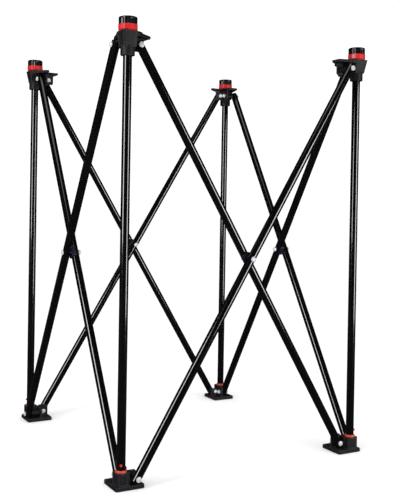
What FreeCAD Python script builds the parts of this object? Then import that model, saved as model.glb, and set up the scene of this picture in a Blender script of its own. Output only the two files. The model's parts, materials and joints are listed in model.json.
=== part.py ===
"""Folding scissor frame with four posts: posts, corner brackets, struts, feet and hardware.

Units are millimetres. +Z is up and the origin is on the floor, at the middle of the four posts.
The sides run front, right, rear and left. A corner is built once in its own axes, with the side
that follows it along +X and the side before it along +Y, and is then turned into its place.
"""
import FreeCAD
import Part
import math
import os

# ---- Driving dimensions ---------------------------------------------------------------------
POST_SPACING = 610.0        # post axis to post axis along a side
TOP_HEIGHT = 979.5          # floor to the top of the caps
TUBE_OD = 19.0              # posts and struts are cut from the same tube
TUBE_WALL = 1.2
STRUT_GAP = 1.8             # thickness of the saddle between two crossing struts
LAYER_SHIFT = 3.8           # how far the middle of the strut pair stands outside the post axes

PIVOT_MARGIN = 3.6          # between the filled inner corner and a strut tube, at the pivot
PIVOT_BELOW_HUB = 24.0      # top of the bracket down to the top pivots
FOOT_PIVOT_CLEARANCE = 0.3803   # between the foot plate and a strut's end at its lowest
STRUT_END = 8.0             # strut tube beyond its end pivots

BOLT_DIAMETER = 6.0
BOLT_CLEARANCE = 0.25       # radial, bolt in a strut or boss
HEAD_DIAMETER = 11.0
HEAD_HEIGHT = 3.4
NUT_FLATS = 10.0
NUT_HEIGHT = 4.6
NUT_DOME = 2.6
NUT_SHOULDER = 0.4          # step round the dome
WASHER_DIAMETER = 12.0
WASHER_THICKNESS = 0.8
FACE_GAP = 0.3              # between faces of pieces that move past each other

CAP_HEIGHT = 16.0
CAP_WALL = 10.25            # post surface to the outside of the cap
CAP_FLUTES = 12
CAP_FLUTE_DEPTH = 0.9
CAP_FLUTE_RADIUS = 3.2
CAP_EDGE = 2.2
CAP_ROOF = 4.5              # thickness over the end of the post
RING_HEIGHT = 13.5
RING_WALL = 11.25           # post surface to the corners of the ring
RING_FACETS = 12
RING_BEVEL = 2.6

HUB_HEIGHT = 32.0
HUB_TOP_WALL = 10.0         # post surface to the outer faces
HUB_BOTTOM_WALL = 4.4
BLOCK_IN_WALL = 6.0         # post surface to the inner faces of the hub and of the foot block
HUB_CORNER = 3.0            # chamfer on the standing edges
HUB_PANEL_DEPTH = 1.3
HUB_PANEL_MARGIN = 4.0
COLLAR_WALL = 5.75
COLLAR_LENGTH = 18.0        # collar below the hub
COLLAR_EDGE = 1.5

WEB_THICKNESS = 4.5
WEB_DEPTH = 36.0            # ear below the top of the hub
WEB_PAST_PIVOT = 14.5       # pivot to the end of the full-depth ear
WEB_CORNER = 5.0
WING_PAST_PIVOT = 28.5      # pivot to the wing tip
WING_THICKNESS = 9.0
WING_TIP_THICKNESS = 7.5
WING_TIP_WIDTH = 9.0        # over the inner strut
WING_COVER_WIDTH = 27.4     # tip over the outer strut
WING_STEP = 2.0             # top of the wing below the top of the hub
WING_STEP_PAST_HUB = 9.5    # outer face of the hub to the step
WING_DROP = 9.0             # gusset under the wing where it leaves the ear
WING_ROUND = 2.0
BOSS_DIAMETER = 14.0
CORNER_OVERLAP = 1.0        # how far the inner corner runs into the ears

FOOT_LIP = 0.5              # foot plate beyond the outer faces of the block
PLATE_PAST_PIVOT = 16.5     # pivot to the inner edges of the foot plate
FOOT_PLATE = 5.0
FOOT_CORNER = 4.0
TREAD_HEIGHT = 3.2
TREAD_GROOVE = 1.6
TREAD_GROOVE_DEPTH = 1.5
TREAD_GROOVES = 11          # grooves each way
FOOT_BLOCK_HEIGHT = 27.0
FOOT_BLOCK_BASE_WALL = 9.0  # post surface to the outer faces
FOOT_BLOCK_TOP_WALL = 4.1
FOOT_EAR_ABOVE_PIVOT = 17.2 # ear of the inner strut
LOW_EAR_ABOVE_PIVOT = 8.5   # ear of the outer strut
FOOT_EAR_PAST_PIVOT = 12.5
SOCKET_FLOOR = 10.0
SOCKET_CLEARANCE = 0.3      # radial, post in its foot
SEAT_GAP = 0.3              # under the end of the post
RED_COLLAR_WALL = 2.8
RED_COLLAR_LIP = 1.45       # its wall at the top
RED_COLLAR_HEIGHT = 7.5
RED_COLLAR_SEAT = 3.0       # depth let into the foot block
PRESS_FIT = 0.02            # radial play of a post in its bracket, ring and cap

BUTTON_DIAMETER = 5.6
BUTTON_RISE = 2.6           # how far it stands out of the post
BUTTON_ABOVE_COLLAR = 11.0
BUTTON_TURN = 20.0          # degrees round from the corner's outward diagonal
BUTTON_FLANGE = 8.4
BUTTON_FLANGE_THICKNESS = 1.0
BUTTON_CLEARANCE = 0.15
SPRING_WIDTH = 5.0
SPRING_THICKNESS = 0.5
SPRING_LENGTH = 26.0
SPRING_GAP = 0.1

SADDLE_LIP = 1.25           # cradle wall beside the inner strut
SADDLE_LENGTH = 27.0        # along the inner strut
SADDLE_CORNER = 5.0

# ---- Worked out from the driving dimensions -------------------------------------------------
TUBE_R = TUBE_OD / 2
LAYER_STEP = (TUBE_OD + STRUT_GAP) / 2
OUTER_LAYER = LAYER_SHIFT + LAYER_STEP      # outward from the post plane
INNER_LAYER = LAYER_SHIFT - LAYER_STEP
CAP_DIAMETER = TUBE_OD + 2 * CAP_WALL
RING_DIAMETER = TUBE_OD + 2 * RING_WALL
HUB_TOP = TOP_HEIGHT - CAP_HEIGHT - RING_HEIGHT
HUB_BOTTOM = HUB_TOP - HUB_HEIGHT
HUB_TOP_OUT = TUBE_R + HUB_TOP_WALL         # post axis to the outer faces
HUB_BOTTOM_OUT = TUBE_R + HUB_BOTTOM_WALL
BLOCK_IN = TUBE_R + BLOCK_IN_WALL
COLLAR_DIAMETER = TUBE_OD + 2 * COLLAR_WALL
WEB_NEAR = TUBE_R - INNER_LAYER + FACE_GAP  # inward offset of the ears' strut-side face
WEB_FAR = WEB_NEAR + WEB_THICKNESS
FOOT_TOP = TREAD_HEIGHT + FOOT_PLATE
PIVOT_INSET = WEB_NEAR + CORNER_OVERLAP + TUBE_R + PIVOT_MARGIN     # post axis to every end pivot
TOP_PIVOT_HEIGHT = HUB_TOP - PIVOT_BELOW_HUB
FOOT_PIVOT_HEIGHT = FOOT_TOP + math.hypot(TUBE_R, STRUT_END) + FOOT_PIVOT_CLEARANCE
PIVOT_RUN = POST_SPACING - 2 * PIVOT_INSET
PIVOT_RISE = TOP_PIVOT_HEIGHT - FOOT_PIVOT_HEIGHT
STRUT_SPAN = math.hypot(PIVOT_RUN, PIVOT_RISE)
STRUT_LEAN = math.degrees(math.atan2(PIVOT_RUN, PIVOT_RISE))
WEB_REACH = PIVOT_INSET + WEB_PAST_PIVOT
WING_REACH = PIVOT_INSET + WING_PAST_PIVOT
FOOT_BLOCK_BASE_OUT = TUBE_R + FOOT_BLOCK_BASE_WALL
FOOT_BLOCK_TOP_OUT = TUBE_R + FOOT_BLOCK_TOP_WALL
FOOT_OUT = FOOT_BLOCK_BASE_OUT + FOOT_LIP   # post axis to the outer edges of the foot plate
FOOT_IN = PIVOT_INSET + PLATE_PAST_PIVOT    # post axis to the inner edges
FOOT_EAR_REACH = PIVOT_INSET + FOOT_EAR_PAST_PIVOT
FOOT_EAR_TOP = FOOT_PIVOT_HEIGHT + FOOT_EAR_ABOVE_PIVOT
LOW_EAR_TOP = FOOT_PIVOT_HEIGHT + LOW_EAR_ABOVE_PIVOT
BLOCK_TOP = FOOT_TOP + FOOT_BLOCK_HEIGHT
RED_COLLAR_NECK = TUBE_OD + 2 * (SOCKET_CLEARANCE + RED_COLLAR_LIP)
RED_COLLAR_DIAMETER = TUBE_OD + 2 * (SOCKET_CLEARANCE + RED_COLLAR_WALL)
RED_COLLAR_BASE = BLOCK_TOP - RED_COLLAR_SEAT
RED_COLLAR_TOP = RED_COLLAR_BASE + RED_COLLAR_HEIGHT
POST_BOTTOM = SOCKET_FLOOR + SEAT_GAP
POST_TOP = TOP_HEIGHT - CAP_ROOF
BUTTON_HEIGHT = RED_COLLAR_TOP + BUTTON_ABOVE_COLLAR
BOLT_HOLE = BOLT_DIAMETER / 2 + BOLT_CLEARANCE
CROSS_HEIGHT = (TOP_PIVOT_HEIGHT + FOOT_PIVOT_HEIGHT) / 2

X = FreeCAD.Vector(1, 0, 0)
Y = FreeCAD.Vector(0, 1, 0)
Z = FreeCAD.Vector(0, 0, 1)

CORNERS = ["front_left", "front_right", "rear_right", "rear_left"]
SIDES = ["front", "right", "rear", "left"]


# ---- Small helpers --------------------------------------------------------------------------
def vec(x, y, z):
    return FreeCAD.Vector(x, y, z)


def cylinder(radius, start, direction, length):
    return Part.makeCylinder(radius, length, start, direction)


def box(low, high):
    size = high.sub(low)
    return Part.makeBox(size.x, size.y, size.z, low)


def prism(points, direction):
    """A closed outline of points, pushed along a direction."""
    return Part.Face(Part.makePolygon(points + [points[0]])).extrude(direction)


def square_ring(out, z):
    """A square wire with its corners cut, from its outer faces to the inner ones, at one height."""
    low = HUB_CORNER - out
    high = BLOCK_IN - HUB_CORNER
    corners = [(BLOCK_IN, low), (BLOCK_IN, high), (high, BLOCK_IN), (low, BLOCK_IN),
               (-out, high), (-out, low), (low, -out), (high, -out)]
    points = [vec(x, y, z) for x, y in corners]
    return Part.makePolygon(points + [points[0]])


def tapered_block(low_out, low_z, high_out, high_z):
    """A block round the post whose outer faces lean and whose inner faces stand upright."""
    return Part.makeLoft([square_ring(low_out, low_z), square_ring(high_out, high_z)], True, True)


def mirrored_to_y(shape):
    """The same shape with X and Y exchanged, for the side along +Y."""
    return shape.mirror(vec(0, 0, 0), vec(1, -1, 0))


def to_corner(shape, index):
    """Turns a shape from the corner's own axes into its place."""
    placed = shape.copy()
    half = POST_SPACING / 2
    placed.translate(vec(-half, -half, 0))
    placed.rotate(vec(0, 0, 0), Z, 90 * index)
    return placed


def standing_edges(shape):
    """Straight edges of a shape that run up and down."""
    found = []
    for edge in shape.Edges:
        ends = edge.Vertexes
        if len(ends) == 2 and abs(ends[0].X - ends[1].X) + abs(ends[0].Y - ends[1].Y) < 1e-6:
            found.append(edge)
    return found


def save(shape, name):
    os.makedirs("parts", exist_ok=True)
    shape.exportStep("parts/" + name + ".step")


# ---- Hardware -------------------------------------------------------------------------------
def bolt(head_face, nut_face, axis):
    """A dome-headed bolt and its washer, with the shank along axis and on into the nut."""
    under = head_face.sub(axis * WASHER_THICKNESS)
    outward = axis.negative()
    washer = cylinder(WASHER_DIAMETER / 2, head_face, outward, WASHER_THICKNESS)
    rim = cylinder(HEAD_DIAMETER / 2, under, outward, HEAD_HEIGHT / 3)
    crown_radius = (HEAD_DIAMETER ** 2 / 4 + HEAD_HEIGHT ** 2) / (2 * HEAD_HEIGHT)
    ball = Part.makeSphere(crown_radius, under.add(axis * (crown_radius - HEAD_HEIGHT)))
    head = ball.common(cylinder(HEAD_DIAMETER / 2, under, outward, HEAD_HEIGHT)).fuse(rim)
    recess = cylinder(HEAD_DIAMETER / 6, under.add(outward * (HEAD_HEIGHT / 2)), outward, HEAD_HEIGHT)
    length = nut_face.sub(under).Length + NUT_HEIGHT
    shank = cylinder(BOLT_DIAMETER / 2, under, axis, length)
    return washer.fuse([head, shank]).cut(recess).removeSplitter()


def dome_nut(face, axis):
    """A dome nut that seats on a face, bored for the bolt's shank."""
    points = []
    across = axis.cross(Z)
    radius = NUT_FLATS / 2 / math.cos(math.radians(30))
    for step in range(6):
        turn = math.radians(60 * step)
        corner = Z * (radius * math.cos(turn)) + across * (radius * math.sin(turn))
        points.append(face.add(corner))
    body = prism(points, axis * NUT_HEIGHT)
    crown_base = face.add(axis * NUT_HEIGHT)
    dome_radius = NUT_FLATS / 2 - NUT_SHOULDER
    crown_radius = (dome_radius ** 2 + NUT_DOME ** 2) / (2 * NUT_DOME)
    ball = Part.makeSphere(crown_radius, crown_base.add(axis * (NUT_DOME - crown_radius)))
    crown = ball.common(cylinder(dome_radius, crown_base, axis, NUT_DOME))
    bore = cylinder(BOLT_DIAMETER / 2, face, axis, NUT_HEIGHT)
    return body.fuse(crown).cut(bore).removeSplitter()


def pivot_set(point, strut_layer, ear_face, outward):
    """Bolt and nut through a strut and its ear; point is the pivot in the post plane."""
    head_face = point.add(outward * (strut_layer + TUBE_R + FACE_GAP))
    nut_face = point.sub(outward * ear_face)
    inward = outward.negative()
    return [bolt(head_face, nut_face, inward), dome_nut(nut_face, inward)]


# ---- Corner pieces, in the corner's own axes ------------------------------------------------
def ear(base, top, reach, corner):
    """A standing ear along +X, inside the strut's path, with its free corner rounded."""
    plate = box(vec(WEB_NEAR, WEB_NEAR, base), vec(reach, WEB_FAR, top))
    edges = []
    for edge in plate.Edges:
        middle = edge.CenterOfMass
        if abs(middle.x - reach) < 1e-6 and abs(middle.z - corner) < 1e-6:
            edges.append(edge)
    return plate.makeFillet(WEB_CORNER, edges)


def inner_corner(base, top):
    """Fills the inner corner of a block, so that it carries both ears."""
    reach = WEB_NEAR + CORNER_OVERLAP
    return box(vec(0, 0, base), vec(reach, reach, top))


def boss(pivot, layer):
    """The round boss that carries a strut of the outer layer, on an ear along +X."""
    start = TUBE_R - layer + FACE_GAP
    centre = vec(pivot.x, start, pivot.z)
    return cylinder(BOSS_DIAMETER / 2, centre, Y, WEB_FAR - start)


def wing(tip_width):
    """The tapering wing over a strut's end, a step below the hub, and the gusset under it."""
    edge_out = HUB_TOP_OUT - HUB_CORNER
    low = HUB_TOP - WING_THICKNESS
    tip_low = HUB_TOP - WING_TIP_THICKNESS
    outline = [vec(0, -edge_out, low), vec(HUB_TOP_OUT, -edge_out, low),
               vec(WING_REACH, WEB_FAR - tip_width, low), vec(WING_REACH, WEB_FAR, low), vec(0, WEB_FAR, low)]
    plate = prism(outline, Z * WING_THICKNESS)
    tips = [edge for edge in standing_edges(plate) if edge.CenterOfMass.x > WING_REACH - 1]
    plate = plate.makeFillet(WING_ROUND, tips)
    wedge = prism([vec(WEB_REACH, -edge_out, low), vec(WING_REACH, -edge_out, low),
                   vec(WING_REACH, -edge_out, tip_low)], Y * (edge_out + WEB_FAR))
    step = box(vec(HUB_TOP_OUT + WING_STEP_PAST_HUB, -edge_out, HUB_TOP - WING_STEP),
               vec(WING_REACH, WEB_FAR, HUB_TOP))
    gusset = prism([vec(WEB_REACH - WEB_CORNER, WEB_NEAR, low), vec(WING_REACH - WING_ROUND, WEB_NEAR, low),
                    vec(WEB_REACH, WEB_NEAR, low - WING_DROP / 2),
                    vec(WEB_REACH - WEB_CORNER, WEB_NEAR, low - WING_DROP)], Y * WEB_THICKNESS)
    return plate.cut([wedge, step]).fuse(gusset)


def panel_cut(low_out, z_low, high_out, z_high):
    """Shallow pockets in the two outer faces of a tapered block, leaving a rib by the corner."""
    low = z_low + HUB_PANEL_MARGIN
    high = z_high - HUB_PANEL_MARGIN
    lean = (high_out - low_out) / (z_high - z_low)
    face_low = low_out + lean * (low - z_low) - HUB_PANEL_DEPTH
    face_high = low_out + lean * (high - z_low) - HUB_PANEL_DEPTH
    half = min(low_out, high_out) - HUB_CORNER - HUB_PANEL_MARGIN / 2
    reach = max(low_out, high_out) + HUB_PANEL_DEPTH
    section = [vec(-half, -face_low, low), vec(-half, -face_high, high),
               vec(-half, -reach, high), vec(-half, -reach, low)]
    pocket = prism(section, X * (2 * half))
    return pocket.fuse(mirrored_to_y(pocket))


def top_bracket():
    pivot = vec(PIVOT_INSET, 0, TOP_PIVOT_HEIGHT)
    hub = tapered_block(HUB_BOTTOM_OUT, HUB_BOTTOM, HUB_TOP_OUT, HUB_TOP)
    hub = hub.cut(panel_cut(HUB_BOTTOM_OUT, HUB_BOTTOM, HUB_TOP_OUT, HUB_TOP))
    collar = cylinder(COLLAR_DIAMETER / 2, vec(0, 0, HUB_BOTTOM - COLLAR_LENGTH), Z, COLLAR_LENGTH)
    collar = collar.makeChamfer(COLLAR_EDGE, [collar.Edges[-1]])
    ear_low = HUB_TOP - WEB_DEPTH
    web = ear(ear_low, HUB_TOP - WING_THICKNESS / 2, WEB_REACH, ear_low)
    pieces = [collar, web, mirrored_to_y(web), wing(WING_TIP_WIDTH), mirrored_to_y(wing(WING_COVER_WIDTH))]
    pieces.append(inner_corner(ear_low, HUB_TOP))
    pieces.append(mirrored_to_y(boss(pivot, OUTER_LAYER)))
    body = hub.fuse(pieces)
    hole = cylinder(BOLT_HOLE, vec(pivot.x, -2 * HUB_TOP_OUT, pivot.z), Y, 4 * HUB_TOP_OUT)
    bore = cylinder(TUBE_R + PRESS_FIT, vec(0, 0, HUB_BOTTOM - COLLAR_LENGTH), Z, TOP_HEIGHT)
    return body.cut([hole, mirrored_to_y(hole), bore]).removeSplitter()


def top_hardware():
    pivot = vec(PIVOT_INSET, 0, TOP_PIVOT_HEIGHT)
    first = pivot_set(pivot, INNER_LAYER, WEB_FAR, Y.negative())
    second = [mirrored_to_y(piece) for piece in pivot_set(pivot, OUTER_LAYER, WEB_FAR, Y.negative())]
    return Part.makeCompound(first + second)


def faceted_ring():
    points = []
    for step in range(RING_FACETS):
        turn = 2 * math.pi * (step + 0.5) / RING_FACETS
        points.append(vec(RING_DIAMETER / 2 * math.cos(turn), RING_DIAMETER / 2 * math.sin(turn), HUB_TOP))
    ring = prism(points, Z * RING_HEIGHT)
    lower = [edge for edge in ring.Edges if abs(edge.CenterOfMass.z - HUB_TOP) < 1e-6]
    ring = ring.makeChamfer(RING_BEVEL, lower)
    return ring.cut(cylinder(TUBE_R + PRESS_FIT, vec(0, 0, HUB_TOP), Z, RING_HEIGHT))


def fluted_cap():
    base = HUB_TOP + RING_HEIGHT
    cap = cylinder(CAP_DIAMETER / 2, vec(0, 0, base), Z, CAP_HEIGHT)
    flutes = []
    for step in range(CAP_FLUTES):
        turn = 2 * math.pi * step / CAP_FLUTES
        reach = CAP_DIAMETER / 2 + CAP_FLUTE_RADIUS - CAP_FLUTE_DEPTH
        flutes.append(cylinder(CAP_FLUTE_RADIUS, vec(reach * math.cos(turn), reach * math.sin(turn), base),
                               Z, CAP_HEIGHT - CAP_EDGE))
    top = [edge for edge in cap.Edges if abs(edge.CenterOfMass.z - TOP_HEIGHT) < 1e-6]
    cap = cap.makeFillet(CAP_EDGE, top).cut(flutes)
    return cap.cut(cylinder(TUBE_R + PRESS_FIT, vec(0, 0, base), Z, CAP_HEIGHT - CAP_ROOF))


def button_axis():
    """Outward direction of the snap button."""
    turn = math.radians(225 + BUTTON_TURN)
    return vec(math.cos(turn), math.sin(turn), 0)


def post_tube():
    length = POST_TOP - POST_BOTTOM
    tube = cylinder(TUBE_R, vec(0, 0, POST_BOTTOM), Z, length)
    tube = tube.cut(cylinder(TUBE_R - TUBE_WALL, vec(0, 0, POST_BOTTOM), Z, length))
    hole = cylinder(BUTTON_DIAMETER / 2 + BUTTON_CLEARANCE, vec(0, 0, BUTTON_HEIGHT), button_axis(), TUBE_OD)
    return tube.cut(hole)


def snap_button():
    axis = button_axis()
    centre = vec(0, 0, BUTTON_HEIGHT)
    inside = TUBE_R - TUBE_WALL - BUTTON_CLEARANCE - BUTTON_FLANGE_THICKNESS
    tip = TUBE_R + BUTTON_RISE
    pin = cylinder(BUTTON_DIAMETER / 2, centre.add(axis * inside), axis, tip - inside)
    crown = [edge for edge in pin.Edges if abs(edge.CenterOfMass.sub(centre).dot(axis) - tip) < 1e-6]
    pin = pin.makeFillet(BUTTON_DIAMETER / 4, crown)
    flange = cylinder(BUTTON_FLANGE / 2, centre.add(axis * inside), axis, BUTTON_FLANGE_THICKNESS)
    bore = cylinder(TUBE_R - TUBE_WALL - BUTTON_CLEARANCE, centre.sub(Z * BUTTON_FLANGE), Z, 2 * BUTTON_FLANGE)
    return pin.fuse(flange.common(bore))


def button_spring():
    """A bent steel strip in the post that pushes the button out."""
    inside = TUBE_R - TUBE_WALL - BUTTON_CLEARANCE - BUTTON_FLANGE_THICKNESS - SPRING_GAP
    wall = math.sqrt((TUBE_R - TUBE_WALL) ** 2 - SPRING_WIDTH ** 2 / 4) - SPRING_GAP
    outer = (inside + wall) / 2
    middle = (inside - wall) / 2
    bend = BUTTON_HEIGHT - SPRING_LENGTH
    top = BUTTON_HEIGHT + SPRING_WIDTH / 2
    half = SPRING_WIDTH / 2
    arch = cylinder(outer, vec(middle, -half, bend), Y, SPRING_WIDTH)
    arch = arch.cut(cylinder(outer - SPRING_THICKNESS, vec(middle, -half, bend), Y, SPRING_WIDTH))
    arch = arch.cut(box(vec(-TUBE_OD, -TUBE_OD, bend), vec(TUBE_OD, TUBE_OD, bend + TUBE_OD)))
    front = box(vec(inside - SPRING_THICKNESS, -half, bend), vec(inside, half, top))
    back = box(vec(-wall, -half, bend), vec(SPRING_THICKNESS - wall, half, top))
    strip = arch.fuse([front, back]).removeSplitter()
    strip.rotate(vec(0, 0, 0), Z, 225 + BUTTON_TURN)
    return strip


# ---- Foot pieces ----------------------------------------------------------------------------
def foot_plan(low, high):
    plate = box(vec(-FOOT_OUT, -FOOT_OUT, low), vec(FOOT_IN, FOOT_IN, high))
    return plate.makeFillet(FOOT_CORNER, standing_edges(plate))


def foot_block():
    pivot = vec(PIVOT_INSET, 0, FOOT_PIVOT_HEIGHT)
    plate = foot_plan(TREAD_HEIGHT, FOOT_TOP)
    block = tapered_block(FOOT_BLOCK_BASE_OUT, FOOT_TOP, FOOT_BLOCK_TOP_OUT, BLOCK_TOP)
    block = block.cut(panel_cut(FOOT_BLOCK_BASE_OUT, FOOT_TOP, FOOT_BLOCK_TOP_OUT, BLOCK_TOP))
    web = ear(FOOT_TOP, FOOT_EAR_TOP, FOOT_EAR_REACH, FOOT_EAR_TOP)
    low_web = ear(FOOT_TOP, LOW_EAR_TOP, FOOT_EAR_REACH, LOW_EAR_TOP)
    pieces = [block, low_web, mirrored_to_y(web), inner_corner(FOOT_TOP, BLOCK_TOP), boss(pivot, OUTER_LAYER)]
    body = plate.fuse(pieces)
    hole = cylinder(BOLT_HOLE, vec(pivot.x, -2 * FOOT_OUT, pivot.z), Y, 4 * FOOT_OUT)
    socket = cylinder(TUBE_R + SOCKET_CLEARANCE, vec(0, 0, SOCKET_FLOOR), Z, BLOCK_TOP)
    seat = cylinder(RED_COLLAR_DIAMETER / 2, vec(0, 0, RED_COLLAR_BASE), Z, FOOT_EAR_TOP)
    return body.cut([hole, mirrored_to_y(hole), socket, seat]).removeSplitter()


def foot_tread():
    sole = foot_plan(0, TREAD_HEIGHT)
    width = FOOT_OUT + FOOT_IN
    grooves = []
    for step in range(TREAD_GROOVES):
        middle = width * (step + 1) / (TREAD_GROOVES + 1) - FOOT_OUT
        low = vec(middle - TREAD_GROOVE / 2, -FOOT_OUT, 0)
        high = vec(middle + TREAD_GROOVE / 2, FOOT_IN, TREAD_GROOVE_DEPTH)
        groove = box(low, high)
        grooves += [groove, mirrored_to_y(groove)]
    return sole.cut(grooves)


def red_collar():
    straight = cylinder(RED_COLLAR_DIAMETER / 2, vec(0, 0, RED_COLLAR_BASE), Z, RED_COLLAR_SEAT)
    flare = RED_COLLAR_HEIGHT - RED_COLLAR_SEAT
    cone = Part.makeCone(RED_COLLAR_DIAMETER / 2, RED_COLLAR_NECK / 2, flare, vec(0, 0, BLOCK_TOP), Z)
    bore = cylinder(TUBE_R + SOCKET_CLEARANCE, vec(0, 0, RED_COLLAR_BASE), Z, RED_COLLAR_HEIGHT)
    return straight.fuse(cone).cut(bore)


def foot_hardware():
    pivot = vec(PIVOT_INSET, 0, FOOT_PIVOT_HEIGHT)
    first = pivot_set(pivot, OUTER_LAYER, WEB_FAR, Y.negative())
    second = [mirrored_to_y(piece) for piece in pivot_set(pivot, INNER_LAYER, WEB_FAR, Y.negative())]
    return Part.makeCompound(first + second)


# ---- Struts, in the front side's axes -------------------------------------------------------
def strut_frame(shape, layer, lean):
    """Leans a shape made about the origin and puts it at the crossing, in a strut's layer."""
    shape.rotate(vec(0, 0, 0), Y, lean)
    shape.translate(vec(0, -POST_SPACING / 2 - layer, CROSS_HEIGHT))
    return shape


def strut(layer, lean):
    """One strut tube with its three pivot holes."""
    start = -STRUT_SPAN / 2 - STRUT_END
    length = STRUT_SPAN + 2 * STRUT_END
    tube = cylinder(TUBE_R, vec(0, 0, start), Z, length)
    tube = tube.cut(cylinder(TUBE_R - TUBE_WALL, vec(0, 0, start), Z, length))
    for place in (-STRUT_SPAN / 2, 0, STRUT_SPAN / 2):
        tube = tube.cut(cylinder(BOLT_HOLE, vec(0, -TUBE_OD, place), Y, 2 * TUBE_OD))
    return strut_frame(tube, layer, lean)


def inner_strut():
    """Its top is at the left corner of the side and its foot at the right one."""
    return strut(INNER_LAYER, -STRUT_LEAN)


def outer_strut():
    return strut(OUTER_LAYER, STRUT_LEAN)


def cross_hardware():
    point = vec(0, -POST_SPACING / 2, CROSS_HEIGHT)
    pieces = pivot_set(point, OUTER_LAYER, TUBE_R - INNER_LAYER, Y.negative())
    return Part.makeCompound(pieces)


def cross_saddle():
    """A spacer that cradles the inner strut and is flat towards the outer one."""
    depth = TUBE_R + STRUT_GAP - FACE_GAP
    half_width = TUBE_R + SADDLE_LIP
    pad = box(vec(-half_width, -depth, -SADDLE_LENGTH / 2), vec(half_width, 0, SADDLE_LENGTH / 2))
    corners = [edge for edge in pad.Edges if abs(edge.CenterOfMass.y + depth / 2) < 1e-6]
    pad = pad.makeFillet(SADDLE_CORNER, corners)
    pad = pad.cut(cylinder(TUBE_R, vec(0, 0, -SADDLE_LENGTH), Z, 2 * SADDLE_LENGTH))
    pad = pad.cut(cylinder(BOLT_HOLE, vec(0, 0, 0), Y.negative(), TUBE_OD))
    return strut_frame(pad, INNER_LAYER, -STRUT_LEAN)


def to_side(shape, index):
    """Turns a shape from the front side to another side."""
    placed = shape.copy()
    placed.rotate(vec(0, 0, 0), Z, 90 * index)
    return placed


# ---- Build ----------------------------------------------------------------------------------
CORNER_PIECES = {
    "post_tube": post_tube,
    "top_bracket": top_bracket,
    "top_ring": faceted_ring,
    "top_cap": fluted_cap,
    "snap_button": snap_button,
    "button_spring": button_spring,
    "foot_block": foot_block,
    "foot_tread": foot_tread,
    "foot_collar": red_collar,
    "top_bolts": top_hardware,
    "foot_bolts": foot_hardware,
}

SIDE_PIECES = {
    "inner_strut": inner_strut,
    "outer_strut": outer_strut,
    "cross_bolt": cross_hardware,
    "cross_saddle": cross_saddle,
}


def main():
    for piece, build in CORNER_PIECES.items():
        shape = build()
        for index, corner in enumerate(CORNERS):
            save(to_corner(shape, index), corner + "_" + piece)
    for piece, build in SIDE_PIECES.items():
        shape = build()
        for index, side in enumerate(SIDES):
            save(to_side(shape, index), side + "_" + piece)


main()
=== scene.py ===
# %% [markdown]
# # A folding scissor frame
#
# The object is a square stand of four posts joined by eight crossing struts. Each post has a
# moulded bracket with a red ring and a black cap at the top, and stands in a moulded foot. The
# fixed frame that is loaded first holds every size, place and joint, so nothing here is fitted
# by eye: each new piece takes its place from the frame and rides on one of its bodies.
#
# Everything is in metres. The frame's origin is on the floor, in the middle of the four posts.

import json
import math

import bmesh
import bpy
from mathutils import Matrix, Vector


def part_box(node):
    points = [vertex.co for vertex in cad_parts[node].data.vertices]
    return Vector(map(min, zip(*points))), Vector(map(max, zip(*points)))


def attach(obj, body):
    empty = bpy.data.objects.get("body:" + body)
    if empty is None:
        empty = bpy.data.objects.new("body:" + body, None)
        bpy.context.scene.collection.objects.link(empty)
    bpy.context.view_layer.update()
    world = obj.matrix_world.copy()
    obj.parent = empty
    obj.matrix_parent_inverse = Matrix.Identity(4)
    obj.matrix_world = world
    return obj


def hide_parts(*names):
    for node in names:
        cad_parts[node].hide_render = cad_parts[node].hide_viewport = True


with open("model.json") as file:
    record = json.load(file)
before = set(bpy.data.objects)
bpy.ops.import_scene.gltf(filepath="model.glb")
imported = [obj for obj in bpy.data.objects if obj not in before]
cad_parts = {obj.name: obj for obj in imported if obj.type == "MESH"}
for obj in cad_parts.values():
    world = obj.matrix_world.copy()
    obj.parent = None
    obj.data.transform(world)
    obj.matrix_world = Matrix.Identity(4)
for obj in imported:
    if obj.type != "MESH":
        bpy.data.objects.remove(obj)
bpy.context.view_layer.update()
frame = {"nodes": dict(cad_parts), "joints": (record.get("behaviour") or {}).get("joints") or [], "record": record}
MM = 0.001

# %% [markdown]
# ## Sizes
#
# The posts, the struts and the joint axes give the layout: where the posts stand, how thick the
# tubes are, where the struts pivot and how far they lie from the plane of the posts. A corner is
# described once, in axes of its own: its post stands on the origin, the side that follows it
# runs along +X and the side before it along +Y. A quarter turn then takes it to each post.

# %% Read the layout from the frame
CORNERS = ["front_left", "front_right", "rear_right", "rear_left"]
SIDES = ["front", "right", "rear", "left"]
joints = {joint["name"]: joint for joint in frame["joints"]}


def spread(node, axis):
    """Lowest and highest value of a frame node along one axis."""
    low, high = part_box(node)
    return low[axis], high[axis]


post_left, post_right = spread("front_left_post_tube", 0)
POST_BOTTOM, POST_TOP = spread("front_left_post_tube", 2)
HALF = -(post_left + post_right) / 2
TUBE_RADIUS = (post_right - post_left) / 2
INNER_LAYER = -sum(spread("front_inner_strut", 1)) / 2 - HALF
OUTER_LAYER = -sum(spread("front_outer_strut", 1)) / 2 - HALF
PIVOT_INSET = joints["fold"]["pos_m"][0] + HALF
TOP_PIVOT = joints["fold"]["pos_m"][2]
FOOT_PIVOT = joints["front_right_foot_pivot"]["pos_m"][2]
CROSSING = (TOP_PIVOT + FOOT_PIVOT) / 2
RING_BOTTOM, RING_TOP = spread("front_left_top_ring", 2)
CAP_BOTTOM, CAP_TOP = spread("front_left_top_cap", 2)
BRACKET_BOTTOM, HUB_TOP = spread("front_left_top_bracket", 2)
WING_REACH = spread("front_left_top_bracket", 0)[1] + HALF
TREAD_TOP = spread("front_left_foot_tread", 2)[1]
FOOT_OUT = -spread("front_left_foot_tread", 0)[0] - HALF
FOOT_IN = spread("front_left_foot_tread", 0)[1] + HALF
EAR_TOP = spread("front_left_foot_block", 2)[1]
COLLAR_BASE, COLLAR_TOP = spread("front_left_foot_collar", 2)
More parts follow.
